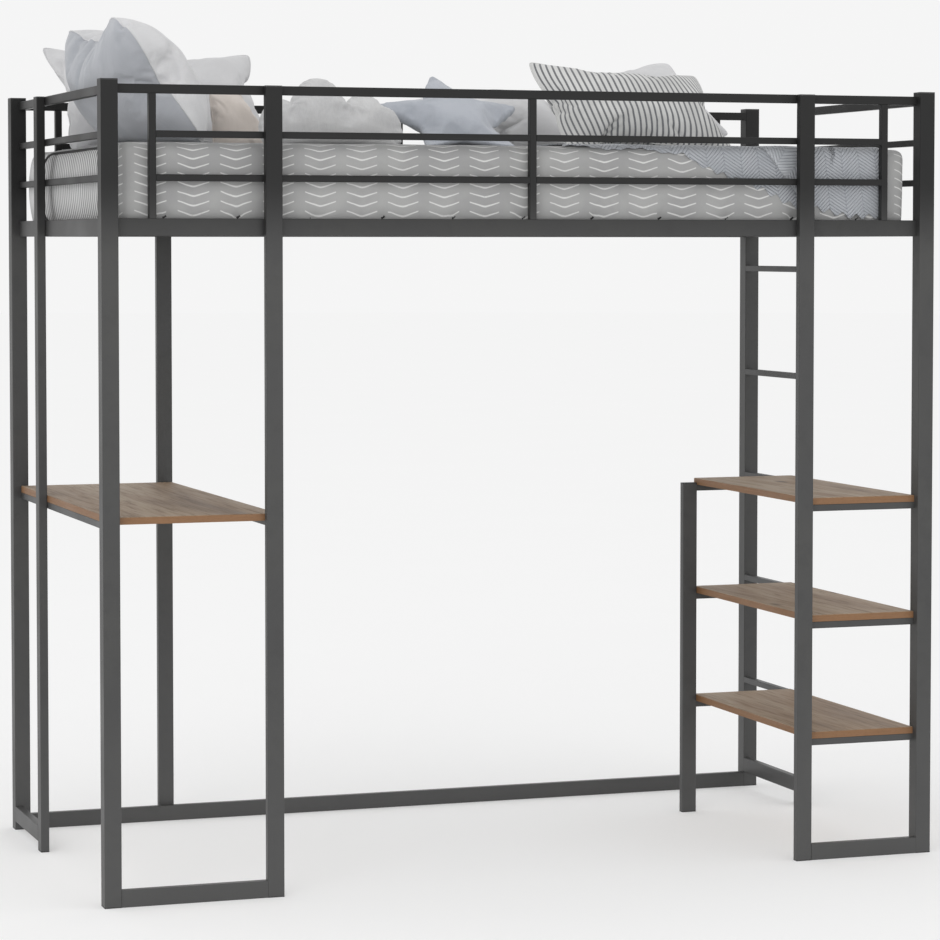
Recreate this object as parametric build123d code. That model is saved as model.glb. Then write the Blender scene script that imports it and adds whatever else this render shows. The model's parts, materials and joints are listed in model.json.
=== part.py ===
from build123d import *
import os
from math import cos, radians, sin

# Loft bed with a desk at the left end, shelves and a ladder at the right end.
# Row frame in millimetres: origin on the floor at the centre of the footprint,
# +X along the bed towards the ladder end, +Y towards the rear, +Z up.

# ---- driving dimensions -------------------------------------------------
LENGTH = 2000.0          # outside of the corner posts along X
DEPTH = 1040.0           # outside of the corner posts along Y
POST_TOP = 1803.0        # top of the four corner posts
GUARD_TOP = 1793.0       # top of the guard rails and of the six flat uprights
POST = 38.0              # corner post section, square
FLAT_W = 38.0            # flat upright and floor bar, wide side
FLAT_T = 20.0            # flat upright and floor bar, thin side
RAIL_H = 38.0            # bed rail height
RAIL_T = 18.0            # bed rail and guard rail thickness
BED_RAIL_Z = 1464.0      # underside of the bed rails
TOP_RAIL_H = 20.0        # top guard rail height
MID_RAIL_H = 15.0        # middle guard rail height
MID_RAIL_Z = (1583.0, 1678.0)
GUARD_POST_W = 16.0      # short vertical of a guard panel
GUARD_POST_X = (119.0, 1000.0, 1880.0)   # their centres, from the left end
LIGHT_BAR = 16.0         # square bar under the desk and the shelves
DESK_BAR_SHOWS = 2.0     # how far the right-hand bar stands out beyond the desk board
TUBE_WALL = 1.2
TUBE_R = 2.0             # outside corner radius of every tube

INNER_X = LENGTH / 2 - POST              # inner faces of the corner posts
INNER_Y = DEPTH / 2 - POST
LEFT = -LENGTH / 2
FRONT = -DEPTH / 2
RIGHT = LENGTH / 2
REAR = DEPTH / 2

DESK_POST_X = LEFT + 368.0               # left face of the desk's flat uprights
SHELF_POST_X = LEFT + 1652.0             # left face of the shelf's flat uprights
END_UPRIGHT_Y = FRONT + 688.0            # front face of the end uprights and shelf rear post
SHELF_POST_TOP = 841.0

BOARD_T = 16.0
BOARD_EASE = 1.0         # chamfer along the boards' upper edges
DESK_Z = 836.0                           # underside of the desk board
DESK_RIGHT = LEFT + 400.0
BOARD_FRONT = FRONT + FLAT_T
SHELF_PITCH = 276.0
SHELF_COUNT = 3
SHELF_BAR_LAP = 26.0                     # how far a front bar laps behind the shelf upright
SHELF_BACK = END_UPRIGHT_Y + FLAT_T

RUNG_COUNT = 5
RUNG_TOP_Z = 1374.0                      # underside of the highest rung
RUNG_PITCH = 274.0
RUNG_H = 15.0
RUNG_T = 18.0
LADDER_BAR_Z = 38.0
END_BAR_Z = 20.0

SLAT_W = 38.0
SLAT_H = 16.0
SLATS_PER_SIDE = 12
SLAT_TOP = 1485.0
LEDGE_T = 3.0
LEDGE_W = 20.0
BEAM_W = 20.0
BEAM_H = 20.0
BRACKET_LEG = 50.0
BRACKET_T = 3.0
BRACKET_H = 18.0
BOLT_PLACE = 0.6         # how far along a bracket's leg its bolt is, from the corner
SLAT_END_GAP = 5.0       # between a bracket and the ledge, and the ledge's end and a slat

CAP_T = 3.0
PLUG_DEPTH = 12.0
PLUG_GAP = 0.3

MATTRESS = (1900.0, 950.0, 184.0)
MATTRESS_X = -1.0        # its centre, a little nearer the left end
MATTRESS_CORNER = 30.0   # corner radius seen from above
MATTRESS_TOP_R = 18.0
MATTRESS_LOW_R = 12.0
SOFT_GAP = 0.5           # clearance under each loose soft piece
MATTRESS_Z = SLAT_TOP + SOFT_GAP
MATTRESS_TOP = MATTRESS_Z + MATTRESS[2]

THROW_T = 3.0
THROW_X = (90.0, 735.0, 890.0)           # left edge, where it widens, right edge
THROW_NARROW_BACK = -235.0               # how far back the left part reaches, along Y
THROW_WIDE_BACK = 360.0                  # and the right part
THROW_FALL_X = (360.0, 885.0)            # the part that hangs over the front
THROW_FALL_Z = MATTRESS_Z + 25.0

# Each pillow: wide, high along its slope, thick, lean back, turn, and its centre in X and Y.
PILLOWS = {
    "pillow_large": (590.0, 310.0, 180.0, 35.0, 90.0, LEFT + 175.0, FRONT + 445.0),
    "pillow_corner": (520.0, 300.0, 110.0, 42.0, 0.0, LEFT + 334.0, FRONT + 876.0),
    "cushion_beige": (130.0, 130.0, 60.0, 14.0, 15.0, LEFT + 414.0, FRONT + 460.0),
    "pillow_low": (380.0, 290.0, 130.0, 70.0, 0.0, LEFT + 1155.0, FRONT + 725.0),
    "pillow_striped": (440.0, 270.0, 110.0, 48.0, 0.0, LEFT + 1388.0, FRONT + 420.0),
    "pillow_right": (370.0, 280.0, 110.0, 47.0, 0.0, LEFT + 1540.0, FRONT + 708.0),
}
PILLOW_ROUNDNESS = 0.45  # edge radius of a pillow as a share of its thickness

CLOUD_T = 80.0
CLOUD_LEAN = 12.0
CLOUD_PLACE = (LEFT + 588.0, FRONT + 255.0)
CLOUD_FLOOR = -76.0      # its flat underside, from its middle
CLOUD_MIDDLE = (240.0, 60.0)             # the block behind the lobes: wide and high
# Each lobe of the cloud: its centre across and up, and its radius.
CLOUD_LOBES = ((-30.0, -4.0, 80.0), (-104.0, -10.0, 66.0), (70.0, -16.0, 60.0), (116.0, -28.0, 48.0))

STAR_T = 70.0
STAR_LEAN = 60.0
STAR_PLACE = (LEFT + 905.0, FRONT + 318.0)
STAR_TIP = 172.0         # from its middle to a point
STAR_NOTCH = 92.0        # from its middle to a notch
STAR_POINTS = 5


# ---- shapes used again and again -----------------------------------------
def block(x, y, z):
    """A plain block between three pairs of limits."""
    size = [limits[1] - limits[0] for limits in (x, y, z)]
    middle = [(limits[0] + limits[1]) / 2 for limits in (x, y, z)]
    return Pos(*middle) * Box(*size)


def tube(along, x, y, z, wall=TUBE_WALL):
    """A rectangular tube with round corners that fills the box between the limits."""
    limits = {"X": x, "Y": y, "Z": z}
    across = {"X": ("Y", "Z"), "Y": ("X", "Z"), "Z": ("X", "Y")}[along]
    wide, high = (limits[name][1] - limits[name][0] for name in across)
    start = {name: sum(limits[name]) / 2 for name in across}
    start[along] = limits[along][0]
    directions = {"X": (1, 0, 0), "Y": (0, 1, 0), "Z": (0, 0, 1)}
    plane = Plane(
        origin=(start["X"], start["Y"], start["Z"]),
        x_dir=directions[across[0]],
        z_dir=directions[along],
    )
    outside = RectangleRounded(wide, high, TUBE_R)
    inside = RectangleRounded(wide - 2 * wall, high - 2 * wall, TUBE_R - wall)
    return extrude(plane * (outside - inside), amount=limits[along][1] - limits[along][0])


def mirror_y(limits):
    """The same pair of limits on the other side of the bed's long centre line."""
    return (-limits[1], -limits[0])


def save(name, *solids):
    """Writes one node, which holds the given separate solids."""
    export_step(Compound(label=name, children=list(solids)), f"parts/{name}.step")


# ---- uprights --------------------------------------------------------------
def corner_places():
    """Lower-left corner of each square post, by name."""
    return {
        "front_left": (LEFT, FRONT),
        "front_right": (INNER_X, FRONT),
        "rear_left": (LEFT, INNER_Y),
        "rear_right": (INNER_X, INNER_Y),
    }


def upright_places():
    """Each flat upright: its X limits, its Y limits and the height of its top."""
    front = (FRONT, FRONT + FLAT_T)
    rear = (REAR - FLAT_T, REAR)
    desk = (DESK_POST_X, DESK_POST_X + FLAT_W)
    shelf = (SHELF_POST_X, SHELF_POST_X + FLAT_W)
    side = (END_UPRIGHT_Y, END_UPRIGHT_Y + FLAT_W)
    return {
        "desk_front_upright": (desk, front, GUARD_TOP),
        "desk_rear_upright": (desk, rear, GUARD_TOP),
        "shelf_front_upright": (shelf, front, GUARD_TOP),
        "shelf_rear_upright": (shelf, (END_UPRIGHT_Y, END_UPRIGHT_Y + FLAT_T), SHELF_POST_TOP),
        "left_end_upright": ((LEFT, LEFT + FLAT_T), side, GUARD_TOP),
        "ladder_upright": ((RIGHT - FLAT_T, RIGHT), side, GUARD_TOP),
    }


def end_plug(x, y, level, inward):
    """A plastic plug: a plate over a tube's end at level, and a boss inside the tube."""
    wide, deep = x[1] - x[0], y[1] - y[0]
    middle = ((x[0] + x[1]) / 2, (y[0] + y[1]) / 2)
    shrink = 2 * (TUBE_WALL + PLUG_GAP)
    plate = Pos(*middle, level) * extrude(RectangleRounded(wide, deep, TUBE_R), amount=-inward * CAP_T)
    boss_face = RectangleRounded(wide - shrink, deep - shrink, TUBE_R / 2)
    boss = Pos(*middle, level) * extrude(boss_face, amount=inward * PLUG_DEPTH)
    return plate + boss


def corner_posts():
    for name, (x0, y0) in corner_places().items():
        x, y = (x0, x0 + POST), (y0, y0 + POST)
        save(f"corner_post_{name}", tube("Z", x, y, (CAP_T, POST_TOP - CAP_T)))


def flat_uprights():
    for name, (x, y, top) in upright_places().items():
        save(name, tube("Z", x, y, (CAP_T, top - CAP_T)))


def caps_and_feet():
    """A plug in the top and in the bottom of every upright."""
    sections = [
        ((x0, x0 + POST), (y0, y0 + POST), POST_TOP) for x0, y0 in corner_places().values()
    ]
    sections += upright_places().values()
    save("top_caps", *[end_plug(x, y, top - CAP_T, -1) for x, y, top in sections])
    save("feet", *[end_plug(x, y, CAP_T, 1) for x, y, _ in sections])


# ---- bed frame ---------------------------------------------------------------
def bed_rails():
    z = (BED_RAIL_Z, BED_RAIL_Z + RAIL_H)
    along_x = (-INNER_X, INNER_X)
    along_y = (-INNER_Y, INNER_Y)
    front_y = (-INNER_Y - RAIL_T, -INNER_Y)
    left_x = (-INNER_X - RAIL_T, -INNER_X)
    save("bed_rail_front", tube("X", along_x, front_y, z))
    save("bed_rail_rear", tube("X", along_x, mirror_y(front_y), z))
    save("bed_rail_left_end", tube("Y", left_x, along_y, z))
    save("bed_rail_right_end", tube("Y", mirror_y(left_x), along_y, z))


def side_guard(y):
    """A long guard: top rail, three short verticals and two middle rails between them."""
    solids = [tube("X", (-INNER_X, INNER_X), y, (GUARD_TOP - TOP_RAIL_H, GUARD_TOP))]
    half = GUARD_POST_W / 2
    centres = [LEFT + place for place in GUARD_POST_X]
    foot, head = BED_RAIL_Z + RAIL_H, GUARD_TOP - TOP_RAIL_H
    for centre in centres:
        solids.append(tube("Z", (centre - half, centre + half), y, (foot, head)))
    for low, high in zip(centres, centres[1:]):
        for level in MID_RAIL_Z:
            solids.append(tube("X", (low + half, high - half), y, (level, level + MID_RAIL_H)))
    return solids


def end_guard(x, y):
    """An end guard: a top rail and two middle rails between the Y limits."""
    levels = [(GUARD_TOP - TOP_RAIL_H, GUARD_TOP)]
    levels += [(level, level + MID_RAIL_H) for level in MID_RAIL_Z]
    return [tube("Y", x, y, z) for z in levels]


def guards():
    front_y = (-INNER_Y - RAIL_T, -INNER_Y)
    left_x = (-INNER_X - RAIL_T, -INNER_X)
    save("guard_front", *side_guard(front_y))
    save("guard_rear", *side_guard(mirror_y(front_y)))
    save("guard_left_end", *end_guard(left_x, (-INNER_Y, INNER_Y)))
    # The right guard meets the ladder's front upright and leaves the way in behind it open.
    right_x = (RIGHT - FLAT_T, RIGHT - FLAT_T + RAIL_T)
    save("guard_right_end", *end_guard(right_x, (-INNER_Y, END_UPRIGHT_Y)))


def slat_deck():
    """Ledges on the long rails, a centre beam, and short slats from each ledge to the beam."""
    slat_z = (SLAT_TOP - SLAT_H, SLAT_TOP)
    ledge_z = (slat_z[0] - LEDGE_T, slat_z[0])
    clear = BRACKET_LEG + SLAT_END_GAP
    ledge_x = (-INNER_X + clear, INNER_X - clear)
    front_ledge = (-INNER_Y, -INNER_Y + LEDGE_W)
    save("slat_ledge_front", block(ledge_x, front_ledge, ledge_z))
    save("slat_ledge_rear", block(ledge_x, mirror_y(front_ledge), ledge_z))
    beam_y, beam_z = (-BEAM_W / 2, BEAM_W / 2), (SLAT_TOP - BEAM_H, SLAT_TOP)
    save("centre_beam", tube("X", (-INNER_X, INNER_X), beam_y, beam_z))
    first = ledge_x[0] + SLAT_W / 2 + SLAT_END_GAP
    pitch = -2 * first / (SLATS_PER_SIDE - 1)
    front, rear = [], []
    for index in range(SLATS_PER_SIDE):
        middle = first + index * pitch
        x = (middle - SLAT_W / 2, middle + SLAT_W / 2)
        y = (-INNER_Y, -BEAM_W / 2)
        front.append(tube("Y", x, y, slat_z))
        rear.append(tube("Y", x, mirror_y(y), slat_z))
    save("slats_front", *front)
    save("slats_rear", *rear)


def corner_bracket(side_x, side_y):
    """An angle bracket inside one corner of the bed frame, and its two bolts."""

    def limits(near, far, side):
        return tuple(sorted((side * near, side * far)))

    z = (BED_RAIL_Z, BED_RAIL_Z + BRACKET_H)
    long_x = limits(INNER_X - BRACKET_LEG, INNER_X, side_x)
    long_y = limits(INNER_Y - BRACKET_T, INNER_Y, side_y)
    short_x = limits(INNER_X - BRACKET_T, INNER_X, side_x)
    short_y = limits(INNER_Y - BRACKET_LEG, INNER_Y, side_y)
    angle = block(long_x, long_y, z) + block(short_x, short_y, z)
    level = BED_RAIL_Z + BRACKET_H / 2
    inset = BRACKET_LEG * BOLT_PLACE
    on_long = (side_x * (INNER_X - inset), side_y * (INNER_Y - BRACKET_T), level)
    on_short = (side_x * (INNER_X - BRACKET_T), side_y * (INNER_Y - inset), level)
    return angle, [bolt_head(on_long, (0, -side_y, 0)), bolt_head(on_short, (-side_x, 0, 0))]


def bolt_head(place, outward, radius=5.0, height=3.0, socket=2.0, socket_depth=1.8):
    """A round bolt head with a hexagon socket, its seat at place."""
    seat = Plane(origin=place, z_dir=outward)
    head = extrude(seat * Circle(radius), amount=height)
    top = Plane(origin=seat.from_local_coords((0, 0, height)), z_dir=outward)
    return head - extrude(top * RegularPolygon(socket, 6), amount=-socket_depth)


def brackets():
    pieces, bolts = [], []
    for side_x in (-1, 1):
        for side_y in (-1, 1):
            piece, heads = corner_bracket(side_x, side_y)
            pieces.append(piece)
            bolts += heads
    save("corner_brackets", *pieces)
    save("bracket_bolts", *bolts)


# ---- feet bars and ladder ----------------------------------------------------
def floor_bars():
    z = (0.0, FLAT_W)
    front = (FRONT, FRONT + FLAT_T)
    save("floor_bar_desk_front", tube("X", (-INNER_X, DESK_POST_X), front, z))
    save("floor_bar_shelf_front", tube("X", (SHELF_POST_X + FLAT_W, INNER_X), front, z))
    save("floor_bar_rear", tube("X", (-INNER_X, INNER_X), (INNER_Y, INNER_Y + RAIL_T), z))
    end_y = (END_UPRIGHT_Y + FLAT_W, INNER_Y)
    save("floor_bar_left_end", tube("Y", (LEFT, LEFT + FLAT_T), end_y, (END_BAR_Z, END_BAR_Z + FLAT_W)))


def ladder():
    x = (INNER_X, INNER_X + RUNG_T)
    y = (END_UPRIGHT_Y, INNER_Y)
    save("ladder_bottom_bar", tube("Y", x, y, (LADDER_BAR_Z, LADDER_BAR_Z + FLAT_W)))
    for index in range(RUNG_COUNT):
        low = RUNG_TOP_Z - (RUNG_COUNT - 1 - index) * RUNG_PITCH
        save(f"ladder_rung_{index + 1}", tube("Y", x, y, (low, low + RUNG_H)))


# ---- desk and shelves --------------------------------------------------------
def softened(board):
    """The board with its upper edges eased."""
    return chamfer(board.faces().sort_by(Axis.Z)[-1].edges(), BOARD_EASE)


def desk():
    left = LEFT + FLAT_T
    board = block((left, DESK_RIGHT), (BOARD_FRONT, INNER_Y), (DESK_Z, DESK_Z + BOARD_T))
    notch = block((left, -INNER_X), (BOARD_FRONT, -INNER_Y), (DESK_Z, DESK_Z + BOARD_T))
    save("desk_board", softened(board - notch))
    z = (DESK_Z - LIGHT_BAR, DESK_Z)
    save("desk_bar_left", tube("Y", (left, left + LIGHT_BAR), (-INNER_Y, INNER_Y), z))
    end = DESK_RIGHT + DESK_BAR_SHOWS
    right = (end - LIGHT_BAR, end)
    save("desk_bar_right", tube("Y", right, (FRONT + FLAT_T, REAR - FLAT_T), z))


def shelves():
    left = SHELF_POST_X + FLAT_W
    names = ("bottom", "middle", "top")
    for index in range(SHELF_COUNT):
        low = DESK_Z - (SHELF_COUNT - 1 - index) * SHELF_PITCH
        board = block((left, INNER_X), (BOARD_FRONT, SHELF_BACK), (low, low + BOARD_T))
        name = names[index]
        save(f"shelf_board_{name}", softened(board))
        z = (low - LIGHT_BAR, low)
        front_y = (BOARD_FRONT, BOARD_FRONT + LIGHT_BAR)
        rear_y = (SHELF_BACK - LIGHT_BAR, SHELF_BACK)
        save(f"shelf_bar_front_{name}", tube("X", (left - SHELF_BAR_LAP, INNER_X), front_y, z))
        save(f"shelf_bar_rear_{name}", tube("X", (left, INNER_X), rear_y, z))


# ---- bedding -------------------------------------------------------------------
def mattress():
    body = Box(*MATTRESS)
    body = fillet(body.edges().filter_by(Axis.Z), MATTRESS_CORNER)
    body = fillet(body.faces().sort_by(Axis.Z)[-1].edges(), MATTRESS_TOP_R)
    body = fillet(body.faces().sort_by(Axis.Z)[0].edges(), MATTRESS_LOW_R)
    save("mattress", Pos(MATTRESS_X, 0, MATTRESS_Z + MATTRESS[2] / 2) * body)


def throw():
    """A thin blanket: it lies on the ladder end of the mattress and hangs over its front."""
    top = (MATTRESS_TOP + SOFT_GAP, MATTRESS_TOP + SOFT_GAP + THROW_T)
    inner = -MATTRESS[1] / 2 - SOFT_GAP
    outer = inner - THROW_T
    left, widens, right = THROW_X
    narrow = block((left, widens), (outer, THROW_NARROW_BACK), top)
    wide = block((widens, right), (outer, THROW_WIDE_BACK), top)
    fall = block(THROW_FALL_X, (outer, inner), (THROW_FALL_Z, top[0]))
    save("throw_blanket", narrow + wide + fall)


def standing_half(half, thick, roundness, lean):
    """Half the height of a rounded slab that leans back by an angle."""
    flat, slim = half - roundness, thick / 2 - roundness
    return flat * cos(radians(lean)) + slim * sin(radians(lean)) + roundness


def stand(shape, half, thick, roundness, lean, turn, x, y):
    """Leans a slab back, turns it about the vertical and sets it down on the mattress."""
    middle = MATTRESS_TOP + SOFT_GAP + standing_half(half, thick, roundness, lean)
    return Pos(x, y, middle) * Rot(0, 0, turn) * Rot(-lean, 0, 0) * shape


def pillows():
    for name, (wide, high, thick, lean, turn, x, y) in PILLOWS.items():
        roundness = thick * PILLOW_ROUNDNESS
        slab = fillet(Box(wide, thick, high).edges(), roundness)
        save(name, stand(slab, high / 2, thick, roundness, lean, turn, x, y))


def cloud_cushion():
    """A rounded cushion with an outline of overlapping round lobes and a flat underside."""
    wide, high = CLOUD_MIDDLE
    outline = Pos(0, CLOUD_FLOOR + high / 2) * Rectangle(wide, high)
    for x, z, radius in CLOUD_LOBES:
        outline += Pos(x, z) * Circle(radius)
    largest = max(radius for _, _, radius in CLOUD_LOBES)
    below = Pos(0, CLOUD_FLOOR - largest) * Rectangle(2 * wide, 2 * largest)
    slab = extrude(Plane.XZ * (outline - below), amount=CLOUD_T / 2, both=True)
    save("cloud_cushion", stand(slab, -CLOUD_FLOOR, CLOUD_T, 0.0, CLOUD_LEAN, 0.0, *CLOUD_PLACE))


def star_cushion():
    """A five-pointed cushion that stands on two of its points."""
    sector = 180 / STAR_POINTS
    points = []
    for index in range(2 * STAR_POINTS):
        radius = STAR_NOTCH if index % 2 else STAR_TIP
        angle = radians(90 + sector * index)
        points.append((radius * cos(angle), radius * sin(angle)))
    face = make_face(Polyline(*points, close=True))
    slab = extrude(Plane.XZ * face, amount=STAR_T / 2, both=True)
    half = STAR_TIP * cos(radians(sector))
    save("star_cushion", stand(slab, half, STAR_T, 0.0, STAR_LEAN, 0.0, *STAR_PLACE))


os.makedirs("parts", exist_ok=True)
corner_posts()
flat_uprights()
caps_and_feet()
bed_rails()
guards()
slat_deck()
brackets()
floor_bars()
ladder()
desk()
shelves()
mattress()
throw()
pillows()
cloud_cushion()
star_cushion()
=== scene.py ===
import json
import math

import bpy
import numpy as np
from mathutils import Matrix, Vector, noise
from mathutils.geometry import delaunay_2d_cdt


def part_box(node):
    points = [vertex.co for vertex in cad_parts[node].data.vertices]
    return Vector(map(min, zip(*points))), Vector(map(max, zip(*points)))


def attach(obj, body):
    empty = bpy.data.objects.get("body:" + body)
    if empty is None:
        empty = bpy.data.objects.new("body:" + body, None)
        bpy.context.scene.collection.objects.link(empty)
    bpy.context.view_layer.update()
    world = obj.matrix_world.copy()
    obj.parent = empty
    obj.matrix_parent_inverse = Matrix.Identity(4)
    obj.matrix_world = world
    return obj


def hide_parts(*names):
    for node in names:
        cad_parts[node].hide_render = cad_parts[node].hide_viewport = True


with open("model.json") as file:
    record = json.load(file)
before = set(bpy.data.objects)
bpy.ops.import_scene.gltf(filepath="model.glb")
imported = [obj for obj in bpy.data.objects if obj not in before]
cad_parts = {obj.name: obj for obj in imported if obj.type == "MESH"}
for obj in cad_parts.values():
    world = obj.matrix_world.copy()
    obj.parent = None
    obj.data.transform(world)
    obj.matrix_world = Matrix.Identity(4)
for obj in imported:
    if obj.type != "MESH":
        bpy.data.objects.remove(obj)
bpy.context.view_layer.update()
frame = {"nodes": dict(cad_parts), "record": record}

# ---- the frame's own places, in metres ---------------------------------------
MATTRESS_LOW, MATTRESS_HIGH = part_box("mattress")
THROW_LOW, THROW_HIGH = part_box("throw_blanket")
MATTRESS_ROUND = 0.024   # radius of the mattress's edges
END_BULGE = {-1: 0.009, 1: -0.004}       # how far its left and right ends stand out
SUBDIVISIONS = 1
CLOTH_FRAMES = 26
AIR_PRESSURE = 9.0
CLOTH_STIFFNESS = 18.0
GROW = 1.06              # a flat cut, against its cushion's nominal size
ROW_HEIGHT = 0.866       # of even triangles, against their side
CELL = ((0, 0), (1, 0), (1, 1), (0, 1))  # the corners of one cell of a grid, in order
MATTRESS_CENTRE = (np.array(MATTRESS_LOW) + np.array(MATTRESS_HIGH)) / 2
MATTRESS_HALF = (np.array(MATTRESS_HIGH) - np.array(MATTRESS_LOW)) / 2
ROW_SHIFT = 0.0040       # moves the rows of the mattress cover's pattern up and down
GATHER_PITCH = 0.167     # between the stitches along the mattress's lower edge
GATHER_START = -0.013
PIPING_HALF = 0.355      # the ribbed panel's half width at each end of the mattress
PIPING_MIDDLE = -0.065   # and its middle along Y


# ---- small tools ---------------------------------------------------------------
def smooth_step(value, low, high):
    """0 below low, 1 above high, and a smooth rise between them."""
    t = np.clip((value - low) / (high - low), 0.0, 1.0)
    return t * t * (3 - 2 * t)


def ripple(points, size, seed):
    """Smooth noise from -1 to 1 at each point; size is the width of one ripple."""
    shift = Vector((seed * 7.13, seed * 3.77, seed * 5.31))
    return np.array([noise.noise(Vector(p) / size + shift) for p in points])


def new_piece(name, vertices, faces, values=None):
    """A smooth-shaded mesh object, with a float value per vertex for each named attribute."""
    mesh = bpy.data.meshes.new(name)
    mesh.from_pydata([tuple(v) for v in vertices], [], faces)
    mesh.validate()
    mesh.update()
    for key, data in (values or {}).items():
        attribute = mesh.attributes.new(key, "FLOAT", "POINT")
        attribute.data.foreach_set("value", np.asarray(data, np.float32))
    mesh.polygons.foreach_set("use_smooth", [True] * len(mesh.polygons))
    piece = bpy.data.objects.new(name, mesh)
    bpy.context.scene.collection.objects.link(piece)
    return piece


def coordinates(piece):
    data = np.empty(len(piece.data.vertices) * 3, np.float32)
    piece.data.vertices.foreach_get("co", data)
    return data.reshape(-1, 3).astype(float)


def set_coordinates(piece, points):
    piece.data.vertices.foreach_set("co", np.asarray(points, np.float32).ravel())
    piece.data.update()


def normals(piece):
    data = np.empty(len(piece.data.vertices) * 3, np.float32)
    piece.data.vertices.foreach_get("normal", data)
    return data.reshape(-1, 3).astype(float)


def refine(piece):
    modifier = piece.modifiers.new("Refine", "SUBSURF")
    modifier.levels = SUBDIVISIONS
    modifier.render_levels = SUBDIVISIONS


def tube_along(points, radius, sides=8, closed=True):
    """Vertices and faces of a thin round tube along a line of points."""
    points = np.asarray(points, float)
    count = len(points)
    ahead = np.roll(points, -1, 0) - np.roll(points, 1, 0)
    if not closed:
        ahead[0], ahead[-1] = points[1] - points[0], points[-1] - points[-2]
    ahead /= np.linalg.norm(ahead, axis=1)[:, None]
    side = np.cross(ahead, (0.31, 0.17, 0.93))
    side /= np.linalg.norm(side, axis=1)[:, None]
    other = np.cross(ahead, side)
    vertices, faces = [], []
    for index in range(count):
        for step in range(sides):
            angle = 2 * math.pi * step / sides
            offset = side[index] * math.cos(angle) + other[index] * math.sin(angle)
            vertices.append(points[index] + radius * offset)
    for index in range(count if closed else count - 1):
        following = (index + 1) % count
        for step in range(sides):
            after = (step + 1) % sides
            faces.append(
                (
                    index * sides + step,
                    index * sides + after,
                    following * sides + after,
                    following * sides + step,
                )
            )
    if not closed:
        faces.append(tuple(range(sides))[::-1])
        faces.append(tuple((count - 1) * sides + step for step in range(sides)))
    return vertices, faces


# ---- materials -------------------------------------------------------------------
class Nodes:
    """A short way to write a material's node tree."""

    def __init__(self, name):
        self.material = bpy.data.materials.new(name)
        self.material.use_nodes = True
        self.tree = self.material.node_tree
        self.shader = self.tree.nodes["Principled BSDF"]

    def node(self, kind, inputs=None, **settings):
        made = self.tree.nodes.new(kind)
        for key, value in settings.items():
            setattr(made, key, value)
        for key, value in (inputs or {}).items():
            self.feed(made.inputs[key], value)
        return made

    def feed(self, socket, value):
        if isinstance(value, bpy.types.NodeSocket):
            self.tree.links.new(value, socket)
        else:
            socket.default_value = value

    def math(self, operation, *values):
        made = self.node("ShaderNodeMath", operation=operation)
        for index, value in enumerate(values):
            self.feed(made.inputs[index], value)
        return made.outputs[0]

    def place(self):
        return self.node("ShaderNodeTexCoord").outputs["Object"]

    def split(self, vector):
        made = self.node("ShaderNodeSeparateXYZ", {"Vector": vector})
        return made.outputs[0], made.outputs[1], made.outputs[2]

    def stretch(self, vector, scale):
        made = self.node("ShaderNodeMapping", {"Vector": vector, "Scale": scale})
        return made.outputs[0]

    def value(self, name):
        return self.node("ShaderNodeAttribute", attribute_name=name).outputs["Fac"]

    def noise(self, vector, scale, detail=2.0, roughness=0.5, distortion=0.0):
        made = self.node(
            "ShaderNodeTexNoise",
            {
                "Vector": vector, "Scale": scale, "Detail": detail,
                "Roughness": roughness, "Distortion": distortion,
            },
        )
        return made.outputs["Fac"]

    def range(self, value, low, high, to_low=0.0, to_high=1.0):
        made = self.node(
            "ShaderNodeMapRange",
            {"Value": value, "From Min": low, "From Max": high, "To Min": to_low, "To Max": to_high},
            interpolation_type="SMOOTHSTEP",
        )
        return made.outputs[0]

    def mix(self, factor, first, second):
        made = self.node("ShaderNodeMix", data_type="RGBA")
        self.feed(made.inputs[0], factor)
        for socket, value in ((made.inputs[6], first), (made.inputs[7], second)):
            if not isinstance(value, bpy.types.NodeSocket):
                value = (*value[:3], 1.0)
            self.feed(socket, value)
        return made.outputs[2]

    def ramp(self, value, stops):
        made = self.node("ShaderNodeValToRGB", {"Fac": value})
        elements = made.color_ramp.elements
        while len(elements) < len(stops):
            elements.new(0.5)
        for element, (position, colour) in zip(elements, stops):
            element.position = position
            element.color = (*colour, 1.0)
        return made.outputs["Color"]

    def bump(self, height, strength, distance, onto=None):
        made = self.node("ShaderNodeBump", {"Height": height, "Strength": strength, "Distance": distance})
        if onto is not None:
            self.feed(made.inputs["Normal"], onto)
        return made.outputs["Normal"]

    def finish(self, colour, roughness, normal=None, **constants):
        self.feed(self.shader.inputs["Base Color"], colour)
        self.feed(self.shader.inputs["Roughness"], roughness)
        if normal is not None:
            self.feed(self.shader.inputs["Normal"], normal)
        for key, value in constants.items():
            self.shader.inputs[key.replace("_", " ")].default_value = value
        return self.material


def grey(level, tint=(1.0, 1.0, 1.0)):
    return tuple(level * part for part in tint)


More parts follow.
